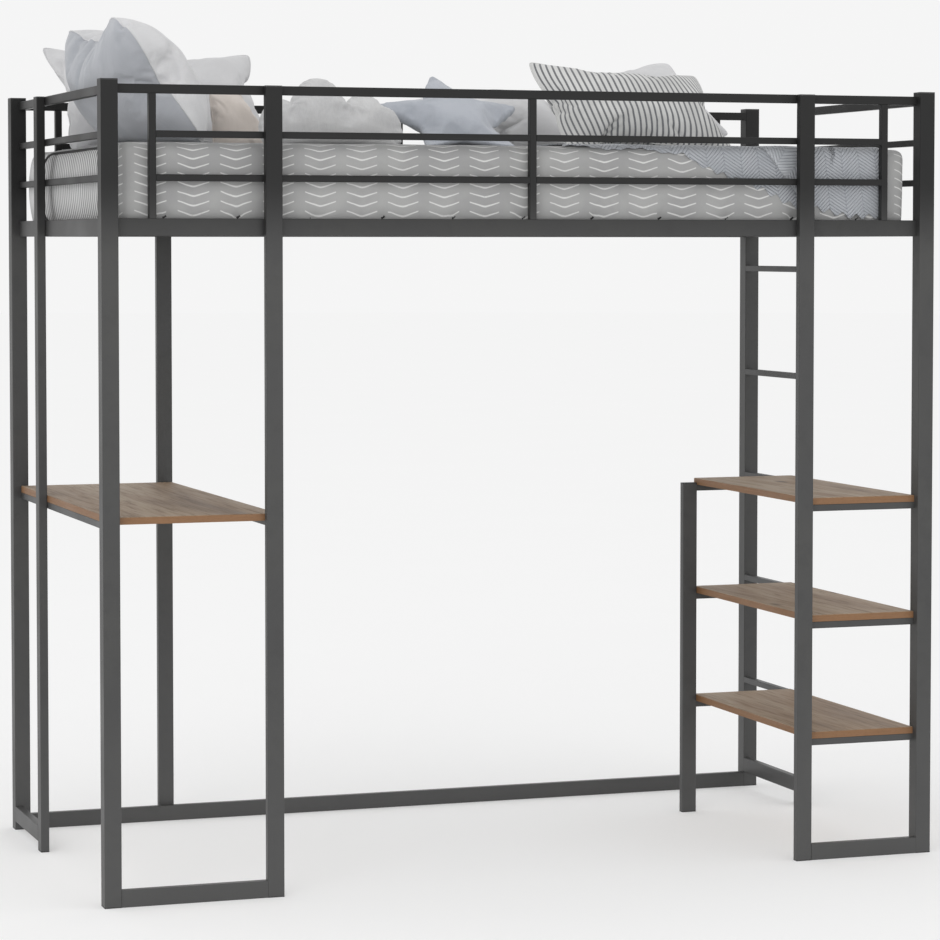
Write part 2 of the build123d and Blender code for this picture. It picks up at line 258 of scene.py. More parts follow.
def powder_coat():
    n = Nodes("powder_coat")
    place = n.place()
    cloudy = n.noise(place, 4.0, 3.0)
    drawn = n.noise(place, 26.0, 3.0, 0.6)
    speckle = n.noise(place, 900.0, 2.0)
    _, _, height = n.split(n.node("ShaderNodeNewGeometry").outputs["Position"])
    guard = n.range(height, 1.40, 1.60)
    colour = n.mix(n.range(cloudy, 0.35, 0.65), grey(0.046), grey(0.058, (1.0, 1.0, 0.97)))
    colour = n.mix(n.range(drawn, 0.45, 0.75, 0.0, 0.35), colour, grey(0.036))
    colour = n.mix(n.range(speckle, 0.55, 0.75, 0.0, 0.30), colour, grey(0.095))
    # Lighter along the sharp edges: edge wear, together with a painted highlight where the rounded edges
    # catch the light.
    edge = edge_mask(n, 0.0022)
    colour = n.mix(n.math("MULTIPLY", edge, 0.35), colour, grey(0.105))
    # Painted light: the steel is lighter towards the floor, as if lit by the pale floor. Painted shade:
    # it is darker at the height of the guards.
    colour = n.mix(n.range(height, 0.60, 0.02, 0.0, 0.45), colour, grey(0.085))
    colour = n.mix(n.math("MULTIPLY", guard, 0.80), colour, grey(0.010))
    shine = n.math("SUBTRACT", 0.45, n.math("MULTIPLY", guard, 0.22))
    n.feed(n.shader.inputs["Specular IOR Level"], shine)
    rough = n.range(cloudy, 0.3, 0.7, 0.40, 0.54)
    normal = n.bump(speckle, 0.25, 0.0003)
    return n.finish(colour, rough, normal, Metallic=0.1)


def edge_mask(n, radius):
    """1 along sharp edges, fading to 0 a little way from them."""
    soft = n.node("ShaderNodeBevel", {"Radius": radius}, samples=4).outputs[0]
    flat = n.node("ShaderNodeNewGeometry").outputs["Normal"]
    made = n.node("ShaderNodeVectorMath", operation="DOT_PRODUCT")
    n.feed(made.inputs[0], soft)
    n.feed(made.inputs[1], flat)
    return n.range(made.outputs["Value"], 0.99, 0.90)


def moulded_plastic():
    n = Nodes("moulded_plastic")
    place = n.place()
    grain = n.noise(place, 1400.0, 2.0)
    cloudy = n.noise(place, 20.0, 2.0)
    colour = n.mix(cloudy, grey(0.028), grey(0.040))
    return n.finish(colour, n.range(grain, 0.3, 0.7, 0.5, 0.62), n.bump(grain, 0.3, 0.0002))


def bolt_steel():
    n = Nodes("bolt_steel")
    place = n.place()
    fold_shadow_and_highlight = n.noise(n.stretch(place, (40.0, 40.0, 900.0)), 6.0, 3.0)
    colour = n.mix(fold_shadow_and_highlight, grey(0.10), grey(0.18))
    rough = n.range(fold_shadow_and_highlight, 0.3, 0.7, 0.3, 0.45)
    return n.finish(colour, rough, n.bump(fold_shadow_and_highlight, 0.2, 0.0002), Metallic=1.0)


def rustic_board():
    """Wood-grain laminate along Y on the faces, and a browner band on the edges."""
    n = Nodes("rustic_board")
    place = n.place()
    drift = n.noise(n.stretch(place, (1.0, 0.10, 1.0)), 7.0, 4.0, 0.6, 0.8)
    grain = n.noise(n.stretch(place, (1.0, 0.045, 1.0)), 120.0, 6.0, 0.65, 0.6)
    fine = n.noise(n.stretch(place, (1.0, 0.02, 1.0)), 600.0, 3.0, 0.6)
    knots = n.node("ShaderNodeTexVoronoi", {"Vector": n.stretch(place, (1.0, 0.45, 1.0)), "Scale": 5.5})
    knot = n.range(knots.outputs["Distance"], 0.10, 0.02)
    face = n.ramp(
        drift,
        [
            (0.28, (0.172, 0.108, 0.064)),
            (0.44, (0.305, 0.208, 0.130)),
            (0.58, (0.385, 0.290, 0.200)),
            (0.74, (0.260, 0.156, 0.086)),
        ],
    )
    face = n.mix(n.range(grain, 0.50, 0.68, 0.0, 0.60), face, (0.105, 0.066, 0.040))
    face = n.mix(n.range(fine, 0.52, 0.70, 0.0, 0.32), face, (0.40, 0.32, 0.24))
    face = n.mix(n.math("MULTIPLY", knot, 0.8), face, (0.042, 0.025, 0.015))
    band = n.noise(n.stretch(place, (6.0, 6.0, 240.0)), 2.0, 4.0, 0.6)
    streak = n.noise(n.stretch(place, (30.0, 30.0, 400.0)), 3.0)
    edge = n.mix(band, (0.165, 0.076, 0.030), (0.285, 0.150, 0.066))
    edge = n.mix(n.range(streak, 0.55, 0.75, 0.0, 0.6), edge, (0.100, 0.044, 0.018))
    _, _, up = n.split(n.node("ShaderNodeNewGeometry").outputs["Normal"])
    flat = n.range(n.math("ABSOLUTE", up), 0.55, 0.75)
    colour = n.mix(flat, edge, face)
    height = n.math("ADD", n.math("MULTIPLY", grain, 0.7), n.math("MULTIPLY", fine, 0.3))
    return n.finish(colour, n.range(grain, 0.3, 0.7, 0.50, 0.66), n.bump(height, 0.35, 0.0006))


def weave_bump(n, place, pitch, strength, onto=None):
    """A fine plain weave in the material's own coordinates."""
    x, y, z = n.split(place)
    turns = 2 * math.pi / pitch
    warp = n.math("MULTIPLY", n.math("ADD", x, n.math("MULTIPLY", y, 0.35)), turns)
    weft = n.math("MULTIPLY", n.math("ADD", z, n.math("MULTIPLY", y, 0.6)), turns)
    threads = n.math("MULTIPLY", n.math("SINE", warp), n.math("SINE", weft))
    fuzz = n.noise(place, 700.0, 3.0, 0.7)
    height = n.math("ADD", n.math("MULTIPLY", threads, 0.5), fuzz)
    return n.bump(height, strength, 0.0005, onto), threads, fuzz


def plain_cotton(name, base, shade, sheen=0.25):
    n = Nodes(name)
    place = n.place()
    crease = n.noise(place, 9.0, 5.0, 0.55, 0.6)
    normal = n.bump(crease, 0.30, 0.008)
    normal, threads, fuzz = weave_bump(n, place, 0.0022, 0.35, normal)
    # Painted shade: the cloth is darker in the hollows of the crease bump.
    colour = n.mix(n.range(crease, 0.30, 0.72), shade, base)
    colour = n.mix(n.range(threads, -1.0, 1.0, 0.0, 0.10), colour, grey(0.9))
    colour = n.mix(n.range(fuzz, 0.35, 0.65, 0.0, 0.18), colour, shade)
    return n.finish(colour, 0.9, normal, Sheen_Weight=sheen, Sheen_Roughness=0.6)


def two_tone_cotton():
    """Light grey in front and blue-grey behind, after the piece's own panel value."""
    n = Nodes("two_tone_cotton")
    place = n.place()
    crease = n.noise(place, 7.0, 5.0, 0.55, 0.6)
    normal = n.bump(crease, 0.35, 0.010)
    normal, threads, fuzz = weave_bump(n, place, 0.0022, 0.35, normal)
    # Painted shade: both colours are darker in the hollows of the crease bump.
    light = n.mix(n.range(crease, 0.3, 0.72), (0.56, 0.56, 0.57), (0.69, 0.69, 0.70))
    blue = n.mix(n.range(crease, 0.3, 0.72), (0.335, 0.352, 0.385), (0.445, 0.460, 0.495))
    colour = n.mix(n.range(n.value("panel"), 0.45, 0.55), light, blue)
    colour = n.mix(n.range(threads, -1.0, 1.0, 0.0, 0.08), colour, grey(0.85))
    colour = n.mix(n.range(fuzz, 0.4, 0.65, 0.0, 0.12), colour, grey(0.30))
    return n.finish(colour, 0.9, normal, Sheen_Weight=0.25, Sheen_Roughness=0.6)


def striped_cotton():
    """Narrow dark stripes that run up the pillow, drawn on the cloth before it is filled."""
    n = Nodes("striped_cotton")
    place = n.place()
    across = n.value("cloth_u")
    wander = n.math("MULTIPLY", n.math("SUBTRACT", n.noise(place, 14.0, 2.0), 0.5), 0.0016)
    phase = n.math("FRACT", n.math("DIVIDE", n.math("ADD", across, wander), 0.0142))
    away = n.math("ABSOLUTE", n.math("SUBTRACT", phase, 0.5))
    stripe = n.range(away, 0.205, 0.145)
    crease = n.noise(place, 10.0, 4.0, 0.55, 0.5)
    normal = n.bump(crease, 0.30, 0.006)
    normal, threads, fuzz = weave_bump(n, place, 0.0024, 0.40, normal)
    # Painted shade: the cloth is darker in the hollows of the crease bump.
    cloth = n.mix(n.range(crease, 0.3, 0.7), (0.52, 0.52, 0.51), (0.64, 0.64, 0.63))
    dark = n.mix(n.range(fuzz, 0.35, 0.65), (0.075, 0.080, 0.088), (0.155, 0.160, 0.170))
    colour = n.mix(stripe, cloth, dark)
    colour = n.mix(n.range(threads, -1.0, 1.0, 0.0, 0.08), colour, grey(0.8))
    return n.finish(colour, 0.88, normal, Sheen_Weight=0.2, Sheen_Roughness=0.6)


def plush():
    """Short soft pile: pale, with faint lines along the cloth."""
    n = Nodes("white_plush")
    place = n.place()
    pile = n.noise(place, 620.0, 3.0, 0.7)
    nap = n.noise(n.stretch(place, (9.0, 9.0, 1.0)), 40.0, 3.0, 0.6)
    crease = n.noise(n.stretch(place, (1.0, 1.0, 1.8)), 14.0, 4.0, 0.55, 0.7)
    # Painted shade: the plush is darker in the hollows of the crease bump.
    colour = n.mix(n.range(crease, 0.30, 0.70), (0.49, 0.49, 0.495), (0.60, 0.60, 0.60))
    colour = n.mix(n.range(nap, 0.35, 0.70, 0.0, 0.30), colour, (0.66, 0.66, 0.66))
    colour = n.mix(n.range(pile, 0.35, 0.65, 0.0, 0.18), colour, (0.42, 0.42, 0.43))
    normal = n.bump(crease, 0.35, 0.007)
    normal = n.bump(n.math("ADD", n.math("MULTIPLY", pile, 0.5), nap), 0.35, 0.0009, normal)
    return n.finish(colour, 0.95, normal, Sheen_Weight=0.35, Sheen_Roughness=0.45)


def mattress_cover():
    """Columns of white chevron dashes on mid grey; the two ends are ribbed and lighter."""
    n = Nodes("mattress_cover")
    place = n.place()
    wobble = n.math("MULTIPLY", n.math("SUBTRACT", n.noise(place, 30.0, 2.0), 0.5), 0.0030)
    x, y, z = n.split(place)
    column_pitch, row_pitch, column_shift, rib_pitch = 0.0965, 0.0205, 0.4470, 0.0200
    half_width, rise, half_line = 0.0365, 0.33, 0.00135
    # Down the front the height counts, and over the top the distance from the front.
    down = n.math("ADD", n.math("ADD", z, y), wobble)
    across = n.math("ADD", n.math("ADD", x, column_shift), wobble)
    turn = n.math("SUBTRACT", n.math("FRACT", n.math("DIVIDE", across, column_pitch)), 0.5)
    side = n.math("MULTIPLY", n.math("ABSOLUTE", turn), column_pitch)
    # The two arms meet in a rounded point.
    arm = n.math("SQRT", n.math("ADD", n.math("MULTIPLY", side, side), 0.0055**2))
    raised = n.math("ADD", n.math("SUBTRACT", down, n.math("MULTIPLY", arm, rise)), ROW_SHIFT)
    row = n.math("DIVIDE", raised, row_pitch)
    off = n.math("ABSOLUTE", n.math("SUBTRACT", n.math("FRACT", row), 0.5))
    off = n.math("MULTIPLY", off, row_pitch)
    taper = n.range(side, 0.0, half_width, half_line * 1.25, half_line * 0.8)
    line = n.range(n.math("SUBTRACT", off, taper), 0.0006, -0.0002)
    dash = n.math("MULTIPLY", line, n.range(side, half_width, half_width - 0.002))
    patchy = n.noise(place, 260.0, 3.0, 0.7)
    dash = n.math("MULTIPLY", dash, n.range(patchy, 0.28, 0.42, 0.55, 1.0))
    crease = n.noise(place, 6.0, 4.0, 0.55, 0.4)
    # Painted shade: the cloth is darker in the hollows of the crease bump.
    cloth = n.mix(n.range(crease, 0.3, 0.7), (0.315, 0.315, 0.315), (0.395, 0.395, 0.390))
    printed = n.mix(dash, cloth, (0.68, 0.68, 0.67))
    ribs = n.math("SINE", n.math("MULTIPLY", y, 2 * math.pi / rib_pitch))
    groove = n.range(ribs, -0.35, 0.60)
    # The gathers are deepest just below the top seam and above the lower one.
    from_seam = n.math("ABSOLUTE", n.math("SUBTRACT", z, float(MATTRESS_CENTRE[2])))
    near_seam = n.range(from_seam, 0.020, 0.066, 0.72, 1.0)
    groove = n.math("MULTIPLY", groove, near_seam)
    from_middle = n.math("ABSOLUTE", n.math("SUBTRACT", y, PIPING_MIDDLE))
    inside = n.range(from_middle, PIPING_HALF + 0.002, PIPING_HALF - 0.002)
    groove = n.math("MULTIPLY", groove, inside)
    # Painted shade: dark in the grooves between the ribs, and darker in the hollows of the crease bump.
    ribbed = n.mix(groove, n.mix(n.range(crease, 0.3, 0.7), grey(0.56), grey(0.66)), grey(0.13))
    sideways, _, _ = n.split(n.node("ShaderNodeNewGeometry").outputs["Normal"])
    end = n.range(n.math("ABSOLUTE", sideways), 0.60, 0.80)
    colour = n.mix(end, printed, ribbed)
    normal = n.bump(crease, 0.30, 0.008)
    normal = n.bump(n.math("MULTIPLY", n.math("MULTIPLY", groove, end), -1.0), 0.6, 0.0022, normal)
    normal, _, fuzz = weave_bump(n, place, 0.0024, 0.35, normal)
    colour = n.mix(n.range(fuzz, 0.4, 0.65, 0.0, 0.12), colour, grey(0.24))
    return n.finish(colour, 0.9, normal, Sheen_Weight=0.15, Sheen_Roughness=0.6)


def herringbone_knit():
    """Slanting ribs that turn back at each column, with darker lines between the ribs."""
    n = Nodes("herringbone_knit")
    place = n.place()
    across, down = n.value("cloth_u"), n.value("cloth_v")
    column, rib = 0.0430, 0.0088
    fold = n.math("PINGPONG", across, column)
    slant = n.math("ADD", down, n.math("MULTIPLY", fold, 0.80))
    phase = n.math("FRACT", n.math("DIVIDE", slant, rib))
    ridge = n.math("SINE", n.math("MULTIPLY", phase, math.pi))
    from_turn = n.math("ABSOLUTE", n.math("SUBTRACT", n.math("DIVIDE", fold, column), 0.5))
    seam = n.range(from_turn, 0.44, 0.49)
    loops = n.math("SINE", n.math("MULTIPLY", n.math("ADD", across, down), 2 * math.pi / 0.0042))
    fuzz = n.noise(place, 420.0, 4.0, 0.7)
    crease = n.noise(place, 8.0, 3.0)
    # Painted shade: the knit is darker in the hollows of the crease bump.
    light = n.mix(n.range(crease, 0.3, 0.7), (0.360, 0.378, 0.405), (0.465, 0.481, 0.508))
    groove = n.math("MULTIPLY", n.range(ridge, 0.42, 0.08), n.range(crease, 0.30, 0.62, 0.45, 1.0))
    colour = n.mix(groove, light, (0.115, 0.124, 0.145))
    colour = n.mix(n.math("MULTIPLY", seam, 0.30), colour, (0.185, 0.200, 0.232))
    # Painted shadow on one side of the turned-over part's edge, and a painted highlight on the other.
    fold_shadow_and_highlight = n.value("fold")
    colour = n.mix(n.range(fold_shadow_and_highlight, 0.0, -1.0, 0.0, 0.38), colour, (0.125, 0.135, 0.160))
    colour = n.mix(n.range(fold_shadow_and_highlight, 0.0, 1.0, 0.0, 0.40), colour, (0.62, 0.64, 0.67))
    colour = n.mix(n.range(fuzz, 0.35, 0.65, 0.0, 0.20), colour, (0.46, 0.48, 0.52))
    height = n.math("ADD", ridge, n.math("MULTIPLY", loops, 0.12))
    height = n.math("ADD", height, n.math("MULTIPLY", fuzz, 0.35))
    normal = n.bump(height, 0.75, 0.0024, n.bump(crease, 0.35, 0.010))
    return n.finish(colour, 0.95, normal, Sheen_Weight=0.4, Sheen_Roughness=0.5)


def dark_cord():
    n = Nodes("dark_cord")
    place = n.place()
    twist = n.noise(place, 900.0, 3.0, 0.7)
    colour = n.mix(twist, grey(0.012), grey(0.035))
    return n.finish(colour, 0.85, n.bump(twist, 0.5, 0.0004))


MATERIALS = {
    "powder_coat": powder_coat(),
    "black_plastic": moulded_plastic(),
    "bolt_steel": bolt_steel(),
    "rustic_board": rustic_board(),
    "mattress_cover": mattress_cover(),
    "throw_knit": herringbone_knit(),
    "blue_grey_cotton": plain_cotton("blue_grey_cotton", (0.425, 0.450, 0.500), (0.315, 0.340, 0.385)),
    "light_grey_cotton": plain_cotton("light_grey_cotton", (0.67, 0.67, 0.68), (0.54, 0.54, 0.55)),
    "striped_cotton": striped_cotton(),
    "beige_cotton": plain_cotton("beige_cotton", (0.70, 0.635, 0.585), (0.56, 0.50, 0.45)),
    "white_plush": plush(),
}


def paint_frame():
    """Every CAD node that stays in view gets its slot's material."""
    for subpart in frame["record"]["subparts"]:
        node = frame["nodes"][subpart["node"]]
        material = MATERIALS[subpart["material_slot"]]
        for place in node.material_slots:
            place.material = material


# ---- filled cushions -------------------------------------------------------------
def panel_pair(width, height, columns, rows, dome, bow=0.06, flare=0.0, blunt=0.0):
    """Two panels sewn at their edges, with bowed sides: x across, z up, -y in front."""
    vertices, across, up, panel, faces = [], [], [], [], []
    number = {}
    for layer in (0, 1):
        for j in range(rows + 1):
            for i in range(columns + 1):
                border = i in (0, columns) or j in (0, rows)
                if layer == 1 and border:
                    number[1, i, j] = number[0, i, j]
                    continue
                s, t = 2 * i / columns - 1, 2 * j / rows - 1
                bulge = dome * (1 - s**4) * (1 - t**4)
                corner = 1 - blunt * (s * t) ** 6
                x = s * width / 2 * (1 - bow * t**4) * (1 - flare * t) * corner
                z = t * height / 2 * (1 - 1.4 * bow * s**4) * corner
                number[layer, i, j] = len(vertices)
                vertices.append((x, bulge if layer else -bulge, z))
                across.append(s * width / 2)
                up.append(t * height / 2)
                panel.append(0.5 if border else float(layer))
    for layer in (0, 1):
        for j in range(rows):
            for i in range(columns):
                corners = [number[layer, i + a, j + b] for a, b in CELL]
                faces.append(tuple(corners if layer == 0 else corners[::-1]))
    border = [number[0, i, 0] for i in range(columns)]
    border += [number[0, columns, j] for j in range(rows)]
    border += [number[0, i, rows] for i in range(columns, 0, -1)]
    border += [number[0, 0, j] for j in range(rows, 0, -1)]
    return vertices, faces, {"cloth_u": across, "cloth_v": up, "panel": panel}, border


def outline_pair(outline, segments, dome):
    """Two panels of a free outline sewn at their edges, in even triangles."""
    border = [outline(2 * math.pi * k / segments) for k in range(segments)]
    step = sum(math.dist(a, b) for a, b in zip(border, border[1:] + border[:1])) / segments
    line = evenly(border, segments)
    inside = []
    span = max(math.hypot(*point) for point in line)
    rows = int(span / (step * ROW_HEIGHT)) + 1
    for row in range(-rows, rows + 1):
        for column in range(-2 * rows, 2 * rows + 1):
            point = ((column + 0.5 * (row % 2)) * step, row * step * ROW_HEIGHT)
            if inside_outline(point, line, 0.6 * step):
                inside.append(point)
    flat = [Vector(point) for point in line + inside]
    edges = [(k, (k + 1) % len(line)) for k in range(len(line))]
    points, _, triangles, _, _, _ = delaunay_2d_cdt(flat, edges, [], 1, 1e-6)
    vertices, across, up, panel, faces = [], [], [], [], []
    number = {}
    for layer in (0, 1):
        for index, (x, z) in enumerate(points):
            if layer == 1 and index < len(line):
                number[1, index] = number[0, index]
                continue
            on_border = index < len(line)
            bulge = 0.0 if on_border else dome
            number[layer, index] = len(vertices)
            vertices.append((x, bulge if layer else -bulge, z))
            across.append(x)
            up.append(z)
            panel.append(0.5 if on_border else float(layer))
        for triangle in triangles:
            corners = [number[layer, index] for index in triangle]
            faces.append(tuple(corners if layer == 0 else corners[::-1]))
    seam = [number[0, index] for index in range(len(line))]
    return vertices, faces, {"cloth_u": across, "cloth_v": up, "panel": panel}, seam


def evenly(points, count):
    """The same closed line as the given number of points, evenly spaced."""
    closed = np.array(points + points[:1])
    along = np.concatenate([[0.0], np.cumsum(np.linalg.norm(np.diff(closed, axis=0), axis=1))])
    wanted = np.linspace(0.0, along[-1], count, endpoint=False)
    x, z = (np.interp(wanted, along, closed[:, k]) for k in (0, 1))
    return list(zip(x.tolist(), z.tolist()))


def inside_outline(point, line, clear):
    """Whether a point lies inside a closed line and at least clear away from it."""
    x, z = point
    crossings = 0
    for (x0, z0), (x1, z1) in zip(line, line[1:] + line[:1]):
        if math.hypot(x - x0, z - z0) < clear:
            return False
        if (z0 > z) != (z1 > z) and x < x0 + (z - z0) * (x1 - x0) / (z1 - z0):
            crossings += 1
    return crossings % 2 == 1


def star_outline(outer, inner, rounding):
    """A five-pointed star whose tips and notches are rounded."""
    def distance(angle):
        sector = math.radians(36)
        local = (angle - math.pi / 2) % (2 * sector)
        if local > sector:
            local = 2 * sector - local
        # The straight edge from a tip (local angle 0) to a notch (local angle of one sector).
        tip = (outer, 0.0)
        notch = (inner * math.cos(sector), inner * math.sin(sector))
        edge = (notch[0] - tip[0], notch[1] - tip[1])
        ray = (math.cos(local), math.sin(local))
        return (tip[0] * edge[1] - tip[1] * edge[0]) / (ray[0] * edge[1] - ray[1] * edge[0])

    def outline(angle):
        spread = [distance(angle + math.radians(step * rounding)) for step in (-2, -1, 0, 1, 2)]
        radius = sum(spread) / len(spread)
        return radius * math.cos(angle), radius * math.sin(angle)

    return outline


def cloud_outline(lobes, floor):
    """The outside of overlapping round lobes above a flat floor, seen from the middle."""
    def outline(angle):
        ray = (math.cos(angle), math.sin(angle))
        reach = 0.0
        for x, z, radius in lobes:
            along = x * ray[0] + z * ray[1]
            square = radius**2 - (x * x + z * z - along * along)
            if square > 0:
                reach = max(reach, along + math.sqrt(square))
        if ray[1] < 0:
            reach = min(reach, floor / ray[1])
        return reach * ray[0], reach * ray[1]

    return outline


def add_cloth(piece):
    """Sets up light cloth that air pushes outwards."""
    cloth = piece.modifiers.new("Cloth", "CLOTH")
    settings = cloth.settings
    settings.quality = 7
    settings.mass = 0.25
    settings.air_damping = 4.0
    settings.tension_stiffness = CLOTH_STIFFNESS
    settings.compression_stiffness = CLOTH_STIFFNESS
    settings.shear_stiffness = CLOTH_STIFFNESS * 0.35
    settings.bending_stiffness = 0.05
    settings.tension_damping = 12.0
    settings.compression_damping = 12.0
    settings.use_pressure = True
    settings.uniform_pressure_force = AIR_PRESSURE
    settings.effector_weights.gravity = 0.0
    cloth.point_cache.frame_start = 1
    cloth.point_cache.frame_end = CLOTH_FRAMES


def inflate(pieces):
    """Fills all the cushions with air at once and keeps the shapes that they reach."""
    scene = bpy.context.scene
    for piece in pieces:
        add_cloth(piece)
    for step in range(1, CLOTH_FRAMES + 1):
        scene.frame_set(step)
    graph = bpy.context.evaluated_depsgraph_get()
    shapes = []
    for piece in pieces:
        evaluated = piece.evaluated_get(graph)
        mesh = evaluated.to_mesh()
        data = np.empty(len(mesh.vertices) * 3, np.float32)
        mesh.vertices.foreach_get("co", data)
        shapes.append(data.reshape(-1, 3).astype(float))
        evaluated.to_mesh_clear()
    for piece, shape in zip(pieces, shapes):
        piece.modifiers.clear()
        set_coordinates(piece, shape)
    scene.frame_set(1)


CUSHIONS = []


def cushion(
    name, shape, size, lean, turn, slot, fill,
    sink=0.010, piping=0.0016, roll=0.0, lift=0.0, move=(0.0, 0.0), skew=0.0, material=None,
):
    """Keeps what a filled piece needs until all of them are inflated together."""
    vertices, faces, values, border = shape
    piece = new_piece(name + "_cover", vertices, faces, values)
    CUSHIONS.append(
        {
            "node": name, "piece": piece, "size": size, "lean": lean, "turn": turn,
            "slot": slot, "fill": fill, "sink": sink, "piping": piping, "border": border,
            "roll": roll, "lift": lift, "move": move, "skew": skew,
            "material": material or MATERIALS[slot],
        }
    )


def fit_to(piece, size):
    """Scales the filled shape to its real width, thickness and height."""
    points = coordinates(piece)
    low, high = points.min(0), points.max(0)
    points = (points - (low + high) / 2) * (np.array(size) / (high - low))
    set_coordinates(piece, points)


def settle(entry):
    """Skews, leans and turns the piece at its CAD solid's place, and flattens it where it rests."""
    piece, sink = entry["piece"], entry["sink"]
    low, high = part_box(entry["node"])
    middle = (Vector(low) + Vector(high)) / 2 + Vector((*entry["move"], 0.0))
    turn = Matrix.Rotation(math.radians(entry["turn"]), 3, "Z")
    lean = Matrix.Rotation(math.radians(-entry["lean"]), 3, "X")
    roll = Matrix.Rotation(math.radians(entry["roll"]), 3, "Y")
    points = coordinates(piece)
    points[:, 0] -= entry["skew"] * points[:, 2]
    points = points @ np.array(turn @ lean @ roll).T + np.array(middle)
    floor = low[2]
    points[:, 2] += floor - sink + entry["lift"] - points[:, 2].min()
    # Below a thin band the cloth is pressed flat; the band rounds the change.
    band = sink * 1.6
    over = points[:, 2] - floor
    blend = np.clip((over + sink) / (band + sink), 0.0, 1.0)
    points[:, 2] = floor + np.where(over < band, band * blend**1.6, over)
    set_coordinates(piece, points)


def finish_cushions():
    inflate([entry["piece"] for entry in CUSHIONS])
    for entry in CUSHIONS:
        piece = entry["piece"]
        fit_to(piece, entry["size"])
        settle(entry)
        piece.data.materials.append(entry["material"])
        if entry["piping"]:
            add_piping(entry)
        refine(piece)
        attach(piece, entry["node"])
        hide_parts(entry["node"])


def add_piping(entry):
    """A thin sewn cord round the seam between the two panels."""
    points = coordinates(entry["piece"])[entry["border"]]
    for _ in range(2):
        points = (np.roll(points, 1, 0) + 2 * points + np.roll(points, -1, 0)) / 4
    vertices, faces = tube_along(points, entry["piping"])
    cord = new_piece(entry["node"] + "_seam", vertices, faces)
    cord.data.materials.append(entry["piece"].data.materials[0])
    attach(cord, entry["node"])


def make_cushions():
    """Each cushion's flat cut, its filled width, thickness and height, and how it leans."""
    cushion(
        "pillow_large", panel_pair(0.590 * GROW, 0.400 * GROW, 84, 58, 0.012, bow=0.05, blunt=0.08),
        (0.605, 0.242, 0.350), 35.0, 90.0, "blue_grey_cotton", 0.9,
        sink=0.016, lift=0.006, move=(0.004, 0.010), material=two_tone_cotton(),
    )
    cushion(
        "pillow_corner", panel_pair(0.520 * GROW, 0.330 * GROW, 76, 46, 0.012, bow=0.035),
        (0.520, 0.130, 0.330), 38.0, 0.0, "light_grey_cotton", 0.6,
        roll=0.8, move=(0.013, 0.0), skew=0.09,
    )
    cushion(
        "cushion_beige", panel_pair(0.130 * GROW, 0.140 * GROW, 40, 40, 0.008, flare=0.34),
        (0.165, 0.066, 0.142), 12.0, 15.0, "beige_cotton", 0.7, move=(0.008, 0.0), skew=0.30,
    )
    cushion(
        "pillow_low", panel_pair(0.380 * GROW, 0.300 * GROW, 64, 50, 0.012, bow=0.04),
        (0.385, 0.145, 0.272), 66.0, 0.0, "light_grey_cotton", 0.7,
    )
    cushion(
        "pillow_striped", panel_pair(0.440 * GROW, 0.290 * GROW, 92, 62, 0.012, bow=0.05),
        (0.432, 0.125, 0.280), 42.0, 0.0, "striped_cotton", 0.6,
        sink=0.016, roll=4.5, move=(0.014, 0.0), skew=0.19,
    )
    cushion(
        "pillow_right", panel_pair(0.370 * GROW, 0.290 * GROW, 62, 48, 0.012),
        (0.296, 0.110, 0.272), 40.0, 0.0, "light_grey_cotton", 0.6,
        roll=-17.0, move=(0.028, 0.0), skew=0.12,
    )
    # Each lobe of the cloud: its place across and up, and its radius.
    lobes = (
        (-0.022, -0.006, 0.084), (-0.106, -0.020, 0.058),
        (0.078, -0.014, 0.066), (0.122, -0.026, 0.052),
    )
    cushion(
        "cloud_cushion", outline_pair(cloud_outline(lobes, -0.066), 150, 0.010),
        (0.344, 0.112, 0.176), 8.0, 0.0, "white_plush", 0.8,
        sink=0.018, piping=0.0, move=(0.006, 0.0),
    )
    cushion(
        "star_cushion", outline_pair(star_outline(0.190, 0.108, 1.2), 160, 0.010),
        (0.346, 0.100, 0.362), 56.0, 0.0, "blue_grey_cotton", 0.7,
        sink=0.034, piping=0.0, move=(0.004, 0.0),
    )


# ---- mattress ------------------------------------------------------------------------
def grid_lines(half, round_edge, cell):
    """Positions from -half to half, closer together over the round edges."""
    edge = [round_edge * (1 - math.cos(math.radians(angle))) for angle in (0, 18, 36, 54, 72, 90)]
    start = [-half + part for part in edge]
    inside = half - round_edge
    count = max(2, round(2 * inside / cell))
    middle = [-inside + 2 * inside * k / count for k in range(1, count)]
    return np.array(start + middle + [-part for part in reversed(start)])


def rounded_block(half, round_edge, cell):
    """A closed block with rounded edges, as a grid on each of its six sides."""
    lines = [grid_lines(h, round_edge, cell) for h in half]
    keys, vertices, faces = {}, [], []

    def vertex(point):
        key = tuple(round(float(part), 6) for part in point)
        if key not in keys:
            keys[key] = len(vertices)
            inner = np.clip(point, [round_edge - h for h in half], [h - round_edge for h in half])
            away = np.asarray(point) - inner
            vertices.append(inner + away / np.linalg.norm(away) * round_edge)
        return keys[key]

    for axis in range(3):
        first, second = [k for k in range(3) if k != axis]
        for sign in (-1, 1):
            for a0, a1 in zip(lines[first], lines[first][1:]):
                for b0, b1 in zip(lines[second], lines[second][1:]):
                    corners = []
                    for a, b in ((a0, b0), (a1, b0), (a1, b1), (a0, b1)):
                        point = [0.0, 0.0, 0.0]
                        point[axis], point[first], point[second] = sign * half[axis], a, b
                        corners.append(vertex(point))
                    outward = (sign > 0) == (axis != 1)
                    faces.append(tuple(corners if outward else corners[::-1]))
    return np.array(vertices), faces


